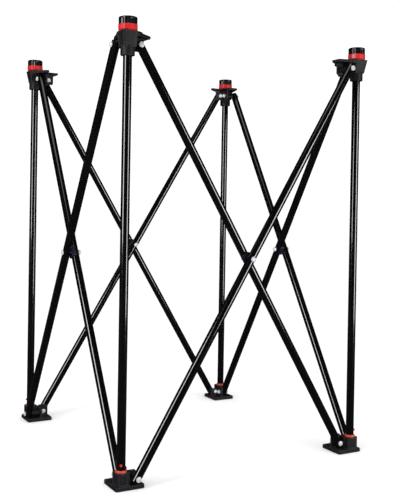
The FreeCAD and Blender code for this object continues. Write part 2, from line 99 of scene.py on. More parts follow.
COLLAR_RADIUS = -spread("front_left_foot_collar", 0)[0] - HALF
BUTTON_HEIGHT = sum(spread("front_left_snap_button", 2)) / 2
BUTTON_OUTWARD = -Vector(joints["front_left_button_press"]["axis"])
STRUT_RUN = 2 * (HALF - PIVOT_INSET)
STRUT_RISE = TOP_PIVOT - FOOT_PIVOT
STRUT_SPAN = math.hypot(STRUT_RUN, STRUT_RISE)
STRUT_LEAN = math.atan2(STRUT_RUN, STRUT_RISE)
print("half spacing", round(HALF, 4), "tube radius", round(TUBE_RADIUS, 4))
print("strut span", round(STRUT_SPAN, 4), "lean in degrees", round(math.degrees(STRUT_LEAN), 2))

# %% [markdown]
# ## Camera
#
# The camera stands a little higher than half the frame's height and looks almost level, with one
# post close and the opposite one far behind. A long-side sensor of 36 mm makes the lens easy to
# compare with a real one. The small shift slides the picture on the sensor instead of tilting
# the camera, so that the posts stay upright.

# %% Camera
CAMERA_PLACE = Vector((-0.9967, -1.832, 0.5955))
CAMERA_HEADING = math.radians(28.402)
CAMERA_PITCH = math.radians(-0.521)
CAMERA_ROLL = math.radians(0.949)

camera_data = bpy.data.cameras.new("camera")
camera_data.sensor_width = 36
camera_data.lens = 58.0
camera_data.shift_x = 0.0363
camera_data.shift_y = -0.0783
camera = bpy.data.objects.new("camera", camera_data)
bpy.context.scene.collection.objects.link(camera)
aim = Matrix.Rotation(-CAMERA_HEADING, 4, "Z") @ Matrix.Rotation(math.pi / 2 + CAMERA_PITCH, 4, "X")
camera.matrix_world = Matrix.Translation(CAMERA_PLACE) @ aim @ Matrix.Rotation(CAMERA_ROLL, 4, "Z")
bpy.context.scene.camera = camera
print("camera is", round(CAMERA_PLACE.length, 2), "m from the middle of the floor")

# %% [markdown]
# ## Studio
#
# Gloss black tube is the hardest thing to light: it shows hardly any colour of its own, only what
# it reflects. So the room that it mirrors is dark, and tall soft boxes draw one or two long
# clean lines down every tube. The same room is bright for matte surfaces, which is what makes the
# floor pale and the moulded plastic readable. The World and the floor tell the two kinds of ray
# apart with the Light Path node.

# %% Studio helpers
FLOOR_SIZE = 60.0
FLOOR_DROP = 0.1 * MM
FLOOR_SHADE = (0.9, 0.9, 0.9, 1)
MIRRORED_FLOOR_SHADE = (0.015, 0.015, 0.015, 1)
WHITE = (1.0, 1.0, 1.0, 1)
ROOM_STRENGTH = 1.12
MIRRORED_ROOM_STRENGTH = 0.006


def fresh_nodes(owner):
    """An empty node tree for a material or the World, and its links."""
    owner.use_nodes = True
    owner.node_tree.nodes.clear()
    return owner.node_tree.nodes, owner.node_tree.links


def soft_box(name, turn, distance, height, width, tall, power):
    """An area light that is turned round the object from the camera's side and aims at its middle."""
    data = bpy.data.lights.new(name, "AREA")
    data.shape = "RECTANGLE"
    data.size = width
    data.size_y = tall
    data.energy = power
    light = bpy.data.objects.new(name, data)
    bpy.context.scene.collection.objects.link(light)
    towards_camera = Vector((CAMERA_PLACE.x, CAMERA_PLACE.y, 0)).normalized()
    place = Matrix.Rotation(math.radians(turn), 4, "Z") @ (towards_camera * distance)
    place.z = height
    target = Vector((0, 0, CROSSING))
    light.location = place
    light.rotation_euler = (target - place).to_track_quat("-Z", "Y").to_euler()
    return light


# %% Lights, World and floor
scene = bpy.context.scene
scene.view_settings.view_transform = "Standard"
soft_box("left_strip", turn=-44, distance=2.6, height=1.2, width=0.75, tall=1.7, power=28)
soft_box("right_strip", turn=58, distance=2.6, height=0.6, width=0.65, tall=1.2, power=18)
soft_box("overhead", turn=-20, distance=0.8, height=3.0, width=1.4, tall=1.4, power=6)

world = bpy.data.worlds.new("studio")
scene.world = world
nodes, links = fresh_nodes(world)
path = nodes.new("ShaderNodeLightPath")
room = nodes.new("ShaderNodeBackground")
room.inputs["Color"].default_value = WHITE
room.inputs["Strength"].default_value = ROOM_STRENGTH
mirrored_room = nodes.new("ShaderNodeBackground")
mirrored_room.inputs["Color"].default_value = WHITE
mirrored_room.inputs["Strength"].default_value = MIRRORED_ROOM_STRENGTH
choose = nodes.new("ShaderNodeMixShader")
world_output = nodes.new("ShaderNodeOutputWorld")
links.new(path.outputs["Is Glossy Ray"], choose.inputs[0])
links.new(room.outputs[0], choose.inputs[1])
links.new(mirrored_room.outputs[0], choose.inputs[2])
links.new(choose.outputs[0], world_output.inputs["Surface"])

floor_material = bpy.data.materials.new("pale_floor")
nodes, links = fresh_nodes(floor_material)
path = nodes.new("ShaderNodeLightPath")
pale = nodes.new("ShaderNodeBsdfDiffuse")
pale.inputs["Color"].default_value = FLOOR_SHADE
mirrored_floor = nodes.new("ShaderNodeBsdfDiffuse")
mirrored_floor.inputs["Color"].default_value = MIRRORED_FLOOR_SHADE
choose = nodes.new("ShaderNodeMixShader")
floor_output = nodes.new("ShaderNodeOutputMaterial")
links.new(path.outputs["Is Glossy Ray"], choose.inputs[0])
links.new(pale.outputs[0], choose.inputs[1])
links.new(mirrored_floor.outputs[0], choose.inputs[2])
links.new(choose.outputs[0], floor_output.inputs["Surface"])

bm = bmesh.new()
bmesh.ops.create_grid(bm, x_segments=1, y_segments=1, size=FLOOR_SIZE / 2)
bmesh.ops.translate(bm, vec=(0, 0, -FLOOR_DROP), verts=bm.verts)
floor_mesh = bpy.data.meshes.new("floor")
bm.to_mesh(floor_mesh)
bm.free()
floor = bpy.data.objects.new("floor", floor_mesh)
floor.data.materials.append(floor_material)
scene.collection.objects.link(floor)
print("floor is", FLOOR_SIZE, "m across")

# %% [markdown]
# ## Surface effects
#
# Four effects turn up in more than one finish, so each is a node group: a fine grain for moulded
# plastic and powder coat, cloudy variation for colour and gloss, worn edges that double as a
# painted highlight along the rims, and dust that settles on what faces up. A group gives out
# masks and heights only. The material decides what to do with them, so the same grain can be a
# bold texture on nylon and a faint one on gloss paint.

# %% Build the effect groups
def effect_group(name, inputs, outputs):
    """A shader node group with named float or vector sockets, ready for its nodes."""
    tree = bpy.data.node_groups.new(name, "ShaderNodeTree")
    for socket, kind, value in inputs:
        made = tree.interface.new_socket(name=socket, in_out="INPUT", socket_type=kind)
        if value is not None:
            made.default_value = value
    for socket in outputs:
        tree.interface.new_socket(name=socket, in_out="OUTPUT", socket_type="NodeSocketFloat")
    return tree, tree.nodes.new("NodeGroupInput"), tree.nodes.new("NodeGroupOutput")


def math_node(tree, operation, first, second, clamp=False):
    """A Math node; first and second are sockets or plain numbers."""
    node = tree.nodes.new("ShaderNodeMath")
    node.operation = operation
    node.use_clamp = clamp
    for index, value in enumerate((first, second)):
        if isinstance(value, (int, float)):
            node.inputs[index].default_value = value
        else:
            tree.links.new(value, node.inputs[index])
    return node.outputs[0]


def noise_node(tree, vector, scale, detail, roughness=0.5):
    """A Noise texture; scale is a socket or a plain number."""
    node = tree.nodes.new("ShaderNodeTexNoise")
    node.inputs["Detail"].default_value = detail
    node.inputs["Roughness"].default_value = roughness
    tree.links.new(vector, node.inputs["Vector"])
    if isinstance(scale, (int, float)):
        node.inputs["Scale"].default_value = scale
    else:
        tree.links.new(scale, node.inputs["Scale"])
    return node.outputs[0]


VECTOR = "NodeSocketVector"
FLOAT = "NodeSocketFloat"
CLOUD_FLOOR = 0.3
CLOUD_CONTRAST = 2.2
WEAR_AND_HIGHLIGHT_CONTRAST = 6.0
EDGE_BREAKUP_SCALE = 260.0
DUST_SLOPE = 0.35
DUST_CONTRAST = 1.5
DUST_SCALE = 120.0

grain_inputs = [("Vector", VECTOR, None), ("Scale", FLOAT, 1800.0)]
grain, given, result = effect_group("fine_grain", grain_inputs, ["Height"])
pebbles = grain.nodes.new("ShaderNodeTexVoronoi")
pebbles.feature = "SMOOTH_F1"
grain.links.new(given.outputs["Vector"], pebbles.inputs["Vector"])
grain.links.new(given.outputs["Scale"], pebbles.inputs["Scale"])
speckle = noise_node(grain, given.outputs["Vector"], given.outputs["Scale"], 3)
grain.links.new(math_node(grain, "ADD", pebbles.outputs["Distance"], speckle), result.inputs["Height"])

cloud_inputs = [("Vector", VECTOR, None), ("Scale", FLOAT, 30.0)]
clouds, given, result = effect_group("cloudy_variation", cloud_inputs, ["Mask"])
cloud = noise_node(clouds, given.outputs["Vector"], given.outputs["Scale"], 5, 0.6)
shifted = math_node(clouds, "SUBTRACT", cloud, CLOUD_FLOOR)
clouds.links.new(math_node(clouds, "MULTIPLY", shifted, CLOUD_CONTRAST, clamp=True), result.inputs["Mask"])

# The edge mask lightens the rims: partly wear, partly a painted highlight standing in for light caught on the
# bevels.
wear_and_highlight_inputs = [("Vector", VECTOR, None), ("Width", FLOAT, 0.0006), ("Amount", FLOAT, 1.0)]
wear_and_highlight, given, result = effect_group("worn_and_highlit_edges", wear_and_highlight_inputs, ["Mask"])
rounded = wear_and_highlight.nodes.new("ShaderNodeBevel")
rounded.samples = 4
wear_and_highlight.links.new(given.outputs["Width"], rounded.inputs["Radius"])
surface = wear_and_highlight.nodes.new("ShaderNodeNewGeometry")
facing = wear_and_highlight.nodes.new("ShaderNodeVectorMath")
facing.operation = "DOT_PRODUCT"
wear_and_highlight.links.new(rounded.outputs["Normal"], facing.inputs[0])
wear_and_highlight.links.new(surface.outputs["Normal"], facing.inputs[1])
edge = math_node(wear_and_highlight, "SUBTRACT", 1.0, facing.outputs["Value"])
edge = math_node(wear_and_highlight, "MULTIPLY", edge, WEAR_AND_HIGHLIGHT_CONTRAST, clamp=True)
edge_breakup = noise_node(wear_and_highlight, given.outputs["Vector"], EDGE_BREAKUP_SCALE, 4)
edge = math_node(wear_and_highlight, "MULTIPLY", edge, edge_breakup)
edge = math_node(wear_and_highlight, "MULTIPLY", edge, given.outputs["Amount"], clamp=True)
wear_and_highlight.links.new(edge, result.inputs["Mask"])

dust_inputs = [("Vector", VECTOR, None), ("Amount", FLOAT, 0.3)]
dust, given, result = effect_group("settled_dust", dust_inputs, ["Mask"])
surface = dust.nodes.new("ShaderNodeNewGeometry")
split = dust.nodes.new("ShaderNodeSeparateXYZ")
dust.links.new(surface.outputs["Normal"], split.inputs[0])
upward = math_node(dust, "SUBTRACT", split.outputs["Z"], DUST_SLOPE)
upward = math_node(dust, "MULTIPLY", upward, DUST_CONTRAST, clamp=True)
patches = noise_node(dust, given.outputs["Vector"], DUST_SCALE, 6, 0.65)
patches = math_node(dust, "MULTIPLY", patches, given.outputs["Amount"])
dust.links.new(math_node(dust, "MULTIPLY", upward, patches, clamp=True), result.inputs["Mask"])
print("effects:", [group.name for group in bpy.data.node_groups])

# %% [markdown]
# ## Finishes
#
# One recipe makes every finish: two close shades of the colour mixed by the clouds, a paler shade
# along the edges that is partly wear and partly a painted highlight on the rims, pale dust on top,
# gloss that drifts a little from place to place, and a bump from the grain. What tells gloss paint
# from rough nylon or zinc plate is only the numbers.
# Values that are the same all over, such as the coat, are set on the shader itself.

# %% The recipe for a finish
DUST_COLOUR = (0.16, 0.15, 0.14, 1)
DUST_DULLNESS = 0.5
WEAR_AND_HIGHLIGHT_WIDTH = 0.8 * MM
DRIFT_PER_CLOUD = 3.1
COAT_ROUGHNESS = 0.05


def mix_colour(tree, factor, first, second):
    """A colour Mix node; first is a socket or a colour, second is a colour."""
    node = tree.nodes.new("ShaderNodeMix")
    node.data_type = "RGBA"
    tree.links.new(factor, node.inputs["Factor"])
    if isinstance(first, tuple):
        node.inputs[6].default_value = first
    else:
        tree.links.new(first, node.inputs[6])
    node.inputs[7].default_value = second
    return node.outputs[2]


def use_effect(tree, group, vector, **values):
    """Places an effect group in a material with its own values."""
    node = tree.nodes.new("ShaderNodeGroup")
    node.node_tree = group
    tree.links.new(vector, node.inputs["Vector"])
    for socket, value in values.items():
        node.inputs[socket].default_value = value
    return node.outputs[0]


def finish(name, dark, light, worn_and_highlight_shade, gloss, grain_scale, grain_depth, cloud_scale=30.0,
           wear_and_highlight_amount=0.6, dust_amount=0.15, metallic=0.0, coat=0.0, specular=0.5):
    """A procedural material; gloss is the lowest and highest roughness, grain_depth is in metres."""
    material = bpy.data.materials.new(name)
    nodes, links = fresh_nodes(material)
    tree = material.node_tree
    place = nodes.new("ShaderNodeTexCoord").outputs["Object"]
    cloud = use_effect(tree, clouds, place, Scale=cloud_scale)
    colour = mix_colour(tree, cloud, dark + (1,), light + (1,))
    # The edge shade is partly wear and partly a painted highlight along the rims.
    rubbed_and_highlit = use_effect(tree, wear_and_highlight, place, Width=WEAR_AND_HIGHLIGHT_WIDTH, Amount=wear_and_highlight_amount)
    colour = mix_colour(tree, rubbed_and_highlit, colour, worn_and_highlight_shade + (1,))
    settled = use_effect(tree, dust, place, Amount=dust_amount)
    colour = mix_colour(tree, settled, colour, DUST_COLOUR)
    roughness = nodes.new("ShaderNodeMapRange")
    roughness.inputs["To Min"].default_value = gloss[0]
    roughness.inputs["To Max"].default_value = gloss[1]
    drift = use_effect(tree, clouds, place, Scale=cloud_scale * DRIFT_PER_CLOUD)
    links.new(drift, roughness.inputs["Value"])
    duller = math_node(tree, "MULTIPLY", settled, DUST_DULLNESS)
    bump = nodes.new("ShaderNodeBump")
    bump.inputs["Distance"].default_value = grain_depth
    links.new(use_effect(tree, grain, place, Scale=grain_scale), bump.inputs["Height"])
    shader = nodes.new("ShaderNodeBsdfPrincipled")
    shader.inputs["Metallic"].default_value = metallic
    shader.inputs["Coat Weight"].default_value = coat
    shader.inputs["Coat Roughness"].default_value = COAT_ROUGHNESS
    shader.inputs["Specular IOR Level"].default_value = specular
    links.new(colour, shader.inputs["Base Color"])
    links.new(math_node(tree, "ADD", roughness.outputs[0], duller, clamp=True), shader.inputs["Roughness"])
    links.new(bump.outputs[0], shader.inputs["Normal"])
    output = nodes.new("ShaderNodeOutputMaterial")
    links.new(shader.outputs[0], output.inputs["Surface"])
    return material


# %% The nine finishes
FINISHES = {
    "black_tube": finish(
        "gloss_powder_coat", (0.0008, 0.0008, 0.001), (0.002, 0.002, 0.0024), (0.02, 0.02, 0.022),
        gloss=(0.11, 0.16), grain_scale=500.0, grain_depth=0.0012 * MM, cloud_scale=9.0,
        wear_and_highlight_amount=0.3, dust_amount=0.02, coat=1.0, specular=0.8),
    # The nylon's pale edge shade at full strength is a painted highlight on the corner ribs, with some wear.
    "black_nylon": finish(
        "textured_nylon", (0.007, 0.007, 0.0085), (0.012, 0.012, 0.0145), (0.20, 0.20, 0.215),
        gloss=(0.40, 0.55), grain_scale=1500.0, grain_depth=0.06 * MM, wear_and_highlight_amount=1.0,
        dust_amount=0.05, specular=0.3),
    "cap_plastic": finish(
        "satin_black_plastic", (0.002, 0.002, 0.003), (0.005, 0.005, 0.007), (0.04, 0.04, 0.045),
        gloss=(0.20, 0.28), grain_scale=900.0, grain_depth=0.006 * MM, dust_amount=0.05, coat=0.3),
    "red_plastic": finish(
        "red_moulding", (0.44, 0.007, 0.009), (0.56, 0.014, 0.014), (0.75, 0.11, 0.09),
        gloss=(0.22, 0.34), grain_scale=900.0, grain_depth=0.010 * MM, dust_amount=0.05),
    "collar_plastic": finish(
        "orange_red_moulding", (0.42, 0.030, 0.010), (0.54, 0.052, 0.016), (0.75, 0.16, 0.09),
        gloss=(0.28, 0.42), grain_scale=900.0, grain_depth=0.012 * MM, dust_amount=0.06),
    "saddle_plastic": finish(
        "navy_moulding", (0.004, 0.005, 0.016), (0.009, 0.011, 0.032), (0.05, 0.055, 0.09),
        gloss=(0.30, 0.45), grain_scale=1200.0, grain_depth=0.03 * MM),
    "tread_rubber": finish(
        "tread_rubber", (0.004, 0.004, 0.004), (0.009, 0.009, 0.010), (0.04, 0.04, 0.04),
        gloss=(0.62, 0.85), grain_scale=900.0, grain_depth=0.12 * MM, dust_amount=0.12),
    "zinc_steel": finish(
        "bright_zinc", (0.60, 0.60, 0.61), (0.80, 0.80, 0.80), (0.9, 0.9, 0.9),
        gloss=(0.18, 0.34), grain_scale=1500.0, grain_depth=0.012 * MM, cloud_scale=160.0,
        dust_amount=0.1, metallic=0.35),
    "spring_steel": finish(
        "spring_steel", (0.30, 0.30, 0.32), (0.46, 0.46, 0.48), (0.6, 0.6, 0.62),
        gloss=(0.25, 0.4), grain_scale=1500.0, grain_depth=0.01 * MM, cloud_scale=160.0,
        metallic=0.6),
}
print("finishes:", sorted(FINISHES))

# %% [markdown]
# ## Shape helpers
#
# Most pieces of this frame are round or flat-sided, so a few starting shapes are enough: a
# profile spun on a lathe, a block, and an outline pushed into a plate. Real edges are never
# perfectly sharp, so soften() bevels every hard edge, which is also what catches the light.
# Mouldings are several such shells joined with an exact Boolean, in the way that a designer
# unites features, and their holes are cut the same way. The bracket's shells do not unite
# cleanly: its skin keeps some open edges.

# %% Starting shapes
def turned(profile, steps=48):
    """Spins (radius, height) points about Z; a profile off the axis closes on itself."""
    bm = bmesh.new()
    points = [bm.verts.new((radius, 0, height)) for radius, height in profile]
    pairs = list(zip(points, points[1:]))
    if profile[0][0] > 0:
        pairs.append((points[-1], points[0]))
    edges = [bm.edges.new(pair) for pair in pairs]
    bmesh.ops.spin(bm, geom=points + edges, cent=(0, 0, 0), axis=(0, 0, 1), angle=2 * math.pi,
                   steps=steps, use_merge=True, use_duplicate=False)
    bmesh.ops.remove_doubles(bm, verts=bm.verts, dist=0.001 * MM)
    bmesh.ops.recalc_face_normals(bm, faces=bm.faces)
    return bm


def rod(radius, low, high, steps=48):
    """A solid round rod on the Z axis."""
    return turned([(0, low), (radius, low), (radius, high), (0, high)], steps)


def block(low, high):
    """A box between two corners."""
    bm = bmesh.new()
    bmesh.ops.create_cube(bm, size=1)
    low, high = Vector(low), Vector(high)
    bmesh.ops.scale(bm, vec=high - low, verts=bm.verts)
    bmesh.ops.translate(bm, vec=(low + high) / 2, verts=bm.verts)
    return bm


def plate(points, push):
    """A flat outline, pushed into a solid."""
    bm = bmesh.new()
    face = bm.faces.new([bm.verts.new(point) for point in points])
    moved = bmesh.ops.extrude_face_region(bm, geom=[face], use_keep_orig=True)
    far_side = [item for item in moved["geom"] if isinstance(item, bmesh.types.BMVert)]
    bmesh.ops.translate(bm, vec=push, verts=far_side)
    bmesh.ops.recalc_face_normals(bm, faces=bm.faces)
    return bm


# %% Edits that every shape can take
HARD_EDGE = math.radians(28)


def bevel(bm, edges, width, segments):
    bmesh.ops.bevel(bm, geom=edges, offset=width, offset_type="OFFSET", segments=segments, profile=0.5,
                    affect="EDGES", material=-1, clamp_overlap=True)
    return bm


def soften(bm, width, segments=2):
    """Rounds every hard edge."""
    hard = [edge for edge in bm.edges if len(edge.link_faces) == 2 and edge.calc_face_angle() > HARD_EDGE]
    return bevel(bm, hard, width, segments)


def is_standing(edge):
    along = edge.verts[1].co - edge.verts[0].co
    return abs(along.normalized().z) > 0.97


def transformed(bm, matrix):
    bmesh.ops.transform(bm, matrix=matrix, verts=bm.verts)
    return bm


def swapped(bm):
    """The same shell with X and Y exchanged, for the side along +Y."""
    twin = bm.copy()
    exchange = Matrix(((0, 1, 0, 0), (1, 0, 0, 0), (0, 0, 1, 0), (0, 0, 0, 1)))
    bmesh.ops.transform(twin, matrix=exchange, verts=twin.verts)
    bmesh.ops.reverse_faces(twin, faces=twin.faces)
    return twin


def along_y(bm, place):
    """Lays a shape made on the Z axis along +Y, with its origin at place."""
    return transformed(bm, Matrix.Translation(place) @ Matrix.Rotation(-math.pi / 2, 4, "X"))


# %% Joining, cutting and finishing shells
def as_mesh(bm, name="shell"):
    mesh = bpy.data.meshes.new(name)
    bm.to_mesh(mesh)
    bm.free()
    return mesh


def one_skin(name, shells, cutters=(), smooth_angle=HARD_EDGE):
    """Joins shells, cuts the cutters out and shades the result; gives back a mesh to place."""
    body = bpy.data.objects.new(name, as_mesh(shells[0]))
    scene.collection.objects.link(body)
    tools = []
    for operation, group in (("UNION", shells[1:]), ("DIFFERENCE", cutters)):
        for shell in group:
            tool = bpy.data.objects.new("tool", as_mesh(shell))
            scene.collection.objects.link(tool)
            step = body.modifiers.new(operation.lower(), "BOOLEAN")
            step.operation = operation
            step.solver = "EXACT"
            step.object = tool
            tools.append(tool)
    made = bpy.data.meshes.new_from_object(body.evaluated_get(bpy.context.evaluated_depsgraph_get()))
    made.shade_smooth()
    made.set_sharp_from_angle(angle=smooth_angle)
    body.modifiers.clear()
    body.data = made
    body.modifiers.new("even_normals", "WEIGHTED_NORMAL").keep_sharp = True
    shaded = bpy.data.meshes.new_from_object(body.evaluated_get(bpy.context.evaluated_depsgraph_get()))
    for item in tools + [body]:
        bpy.data.objects.remove(item)
    shaded.name = name
    print(name, len(shaded.polygons), "faces")
    return shaded

# %% [markdown]
# ## Tubes
#
# Posts and struts are cut from one steel tube with a thin wall. The wall's section is spun once
# about the tube's axis, so the tube is hollow with real rims, and cross holes are cut where the
# bolts and the button go through. Sixty-four steps keep the long reflections straight.

# %% Post and strut
TUBE_WALL = 1.2 * MM
TUBE_STEPS = 64
RIM = 0.25 * MM
BOLT_HOLE = 3.25 * MM
BUTTON_RADIUS = 2.8 * MM
BUTTON_CLEARANCE = 0.15 * MM
STRUT_END = 8.0 * MM


def tube(low, high):
    inside = TUBE_RADIUS - TUBE_WALL
    shell = turned([(TUBE_RADIUS, low), (TUBE_RADIUS, high), (inside, high), (inside, low)], TUBE_STEPS)
    return soften(shell, RIM, 2)


def towards(direction):
    """Turns +Z to a direction."""
    return direction.to_track_quat("Z", "Y").to_matrix().to_4x4()


button_hole = rod(BUTTON_RADIUS + BUTTON_CLEARANCE, 0, 2 * TUBE_RADIUS, 32)
button_hole = transformed(button_hole, Matrix.Translation((0, 0, BUTTON_HEIGHT)) @ towards(BUTTON_OUTWARD))
post_mesh = one_skin("post", [tube(POST_BOTTOM, POST_TOP)], [button_hole])

strut_holes = []
for height in (-STRUT_SPAN / 2, 0, STRUT_SPAN / 2):
    strut_holes.append(along_y(rod(BOLT_HOLE, -2 * TUBE_RADIUS, 2 * TUBE_RADIUS, 32), (0, 0, height)))
strut_end = STRUT_SPAN / 2 + STRUT_END
strut_mesh = one_skin("strut", [tube(-strut_end, strut_end)], strut_holes)

# %% [markdown]
# ## Cap and red ring
#
# The cap is turned with a rounded rim, and twelve shallow flutes run down its wall for the
# fingers. Each flute is a gentle wave in the radius that fades out below the rim, which keeps
# the skin in one piece. The ring below it has twelve flat facets: a twelve-sided drum with its
# corners rounded and its lower rim cut back.

# %% Cap
CAP_RADIUS = 19.75 * MM
CAP_RIM = 2.4 * MM
CAP_ROOF = 4.5 * MM
FLUTES = 12
FLUTE_DEPTH = 1.0 * MM
FLUTE_FADE = 3.0 * MM
BORE = TUBE_RADIUS + 0.03 * MM


def fluted(bm, base, fade_from):
    """Presses waves into the wall; they fade out over FLUTE_FADE below fade_from."""
    for vert in bm.verts:
        radius = math.hypot(vert.co.x, vert.co.y)
        if radius > BORE + MM and vert.co.z >= base:
            turn = math.atan2(vert.co.y, vert.co.x)
            wave = (0.5 + 0.5 * math.cos(FLUTES * turn)) ** 1.5
            fade = min(max((fade_from - vert.co.z) / FLUTE_FADE, 0), 1)
            shrink = 1 - FLUTE_DEPTH * wave * fade / CAP_RADIUS
            vert.co.x *= shrink
            vert.co.y *= shrink
    return bm


wall_rows = [(CAP_RADIUS, CAP_TOP - CAP_RIM - row * FLUTE_FADE / 4) for row in range(1, 6)]
cap_profile = [(0, CAP_TOP), (CAP_RADIUS, CAP_TOP)] + wall_rows
cap_profile += [(CAP_RADIUS, CAP_BOTTOM), (BORE, CAP_BOTTOM)]
cap_profile += [(BORE, CAP_TOP - CAP_ROOF), (0, CAP_TOP - CAP_ROOF)]
cap = turned(cap_profile, FLUTES * 12)
rim = [edge for edge in cap.edges if edge.is_manifold and edge.calc_face_angle() > HARD_EDGE
       and all(vert.co.z > CAP_TOP - MM for vert in edge.verts)]
cap = bevel(cap, rim, CAP_RIM, 6)
cap_mesh = one_skin("cap", [fluted(cap, CAP_BOTTOM, CAP_TOP - CAP_RIM)], smooth_angle=math.radians(40))

# %% Red ring
RING_RADIUS = 20.75 * MM
RING_CUT = 2.6 * MM
RING_CORNER = 1.4 * MM
RING_EDGE = 0.35 * MM


def drum(sides, radius, low, high, turn=0.0):
    """A many-sided drum on the Z axis."""
    bm = bmesh.new()
    bmesh.ops.create_cone(bm, cap_ends=True, segments=sides, radius1=radius, radius2=radius, depth=high - low)
    middle = Matrix.Translation((0, 0, (low + high) / 2))
    return transformed(bm, middle @ Matrix.Rotation(turn, 4, "Z"))


ring = drum(12, RING_RADIUS, RING_BOTTOM, RING_TOP, math.radians(15))
ring = bevel(ring, [edge for edge in ring.edges if is_standing(edge)], RING_CORNER, 3)
lower = [edge for edge in ring.edges if all(vert.co.z < RING_BOTTOM + MM for vert in edge.verts)]
ring = bevel(ring, lower, RING_CUT, 1)
ring = soften(ring, RING_EDGE, 2)
ring_bore = rod(BORE, RING_BOTTOM - MM, RING_TOP + MM, TUBE_STEPS)
ring_mesh = one_skin("ring", [ring], [ring_bore])

# %% [markdown]
# ## Top bracket
#
# One nylon moulding clamps the post and carries two struts. Its hub tapers downwards to a round
# collar. Two ears stand inside the struts' paths, each under a wing that reaches out past the
# pivot, and a boss on one ear spaces out the strut that crosses on the outside. The hub's two
# outer faces are sunk between ribs, and a narrow slot runs down beside the corner rib.

# %% Bracket sizes
FACE_GAP = 0.3 * MM
EAR_THICKNESS = 4.5 * MM
EAR_NEAR = TUBE_RADIUS - INNER_LAYER + FACE_GAP
EAR_FAR = EAR_NEAR + EAR_THICKNESS
EAR_REACH = PIVOT_INSET + 14.5 * MM
EAR_CORNER = 5.0 * MM
EAR_LOW = HUB_TOP - 36 * MM
HUB_TOP_OUT = TUBE_RADIUS + 10 * MM
HUB_BOTTOM_OUT = TUBE_RADIUS + 4.4 * MM
BLOCK_IN = TUBE_RADIUS + 6 * MM
HUB_BOTTOM = HUB_TOP - 32 * MM
HUB_CORNER = 3.0 * MM
SLEEVE_RADIUS = TUBE_RADIUS + 5.75 * MM
BOSS_RADIUS = 7.0 * MM
WING_THICKNESS = 9.0 * MM
WING_TIP_WIDTH = 9.0 * MM
WING_COVER_WIDTH = 27.4 * MM
WING_TIP_RISE = 1.5 * MM
WING_STEP = 2.0 * MM
WING_STEP_AT = HUB_TOP_OUT + 9.5 * MM
WING_DROP = 9.0 * MM
PANEL_MARGIN = 2.2 * MM
PANEL_DEPTH = 1.2 * MM
PANEL_SLOPE = 0.4 * MM
WING_TIP_CORNER = 2.0 * MM
WEB_INSET = 3.0 * MM
SLEEVE_EDGE = 1.2 * MM
SLEEVE_OVERLAP = 4.0 * MM
EDGE = 0.6 * MM


# %% Shells shared by bracket and foot
def tapered_block(low, low_out, high, high_out):
    """A block with upright inner faces and leaning outer faces that are sunk between ribs."""
    bm = block((-high_out, -high_out, low), (BLOCK_IN, BLOCK_IN, high))
    for vert in bm.verts:
        if vert.co.z < (low + high) / 2:
            vert.co.x = max(vert.co.x, -low_out)
            vert.co.y = max(vert.co.y, -low_out)
    bm = bevel(bm, [edge for edge in bm.edges if is_standing(edge)], HUB_CORNER, 3)
    outer = []
    for face in bm.faces:
        if face.calc_area() > TUBE_RADIUS * (high - low) and min(face.normal.x, face.normal.y) < -0.9:
            outer.append(face)
    bmesh.ops.inset_individual(bm, faces=outer, thickness=PANEL_MARGIN, depth=0, use_even_offset=True)
    bmesh.ops.inset_individual(bm, faces=outer, thickness=PANEL_SLOPE, depth=-PANEL_DEPTH,
                               use_even_offset=True)
    return soften(bm, EDGE / 2)


def ear(low, high, reach, free_height):
    """A standing ear along +X; the corner of its end at free_height is rounded."""
    bm = block((EAR_NEAR, EAR_NEAR, low), (reach, EAR_FAR, high))
    corner = []
    for edge in bm.edges:
        middle = (edge.verts[0].co + edge.verts[1].co) / 2
        if abs(middle.x - reach) < EDGE / 10 and abs(middle.z - free_height) < EDGE / 10:
            corner.append(edge)
    return soften(bevel(bm, corner, EAR_CORNER, 5), EDGE)


def boss(height):
    """The round boss on an ear along +X, out to the strut of the outer layer."""
    start = TUBE_RADIUS - OUTER_LAYER + FACE_GAP
    shell = soften(rod(BOSS_RADIUS, start, EAR_FAR - EDGE, 40), EDGE)
    return along_y(shell, (PIVOT_INSET, 0, height))


def bolt_hole(height):
    return along_y(rod(BOLT_HOLE, -3 * TUBE_RADIUS, 3 * TUBE_RADIUS, 32), (PIVOT_INSET, 0, height))


# %% Wing and gusset
def wing(tip_width):
    """The wing over a strut's end, a step below the hub; its outer edge runs from the hub to the tip."""
    edge_out = HUB_TOP_OUT - HUB_CORNER
    low = HUB_TOP - WING_THICKNESS
    tip_near = EAR_FAR - tip_width
    bm = plate([(0, -edge_out, low), (HUB_TOP_OUT, -edge_out, low), (WING_REACH, tip_near, low),
                (WING_REACH, EAR_FAR, low), (0, EAR_FAR, low)], (0, 0, WING_THICKNESS - WING_STEP))
    raised = [vert for vert in bm.verts if vert.co.x > WING_REACH - MM and vert.co.z < low + MM]
    bmesh.ops.translate(bm, vec=(0, 0, WING_TIP_RISE), verts=raised)
    tips = [edge for edge in bm.edges if is_standing(edge) and edge.verts[0].co.x > WING_REACH - MM]
    return soften(bevel(bm, tips, WING_TIP_CORNER, 3), EDGE)


def deck(tip_width):
    """The raised part of a wing, level with the hub."""
    edge_out = HUB_TOP_OUT - HUB_CORNER
    along = (WING_STEP_AT - HUB_TOP_OUT) / (WING_REACH - HUB_TOP_OUT)
    step_near = along * (EAR_FAR - tip_width + edge_out) - edge_out
    low = HUB_TOP - WING_THICKNESS / 2
    bm = plate([(0, -edge_out, low), (HUB_TOP_OUT, -edge_out, low), (WING_STEP_AT, step_near, low),
                (WING_STEP_AT, EAR_FAR, low), (0, EAR_FAR, low)], (0, 0, WING_THICKNESS / 2))
    return soften(bm, EDGE)


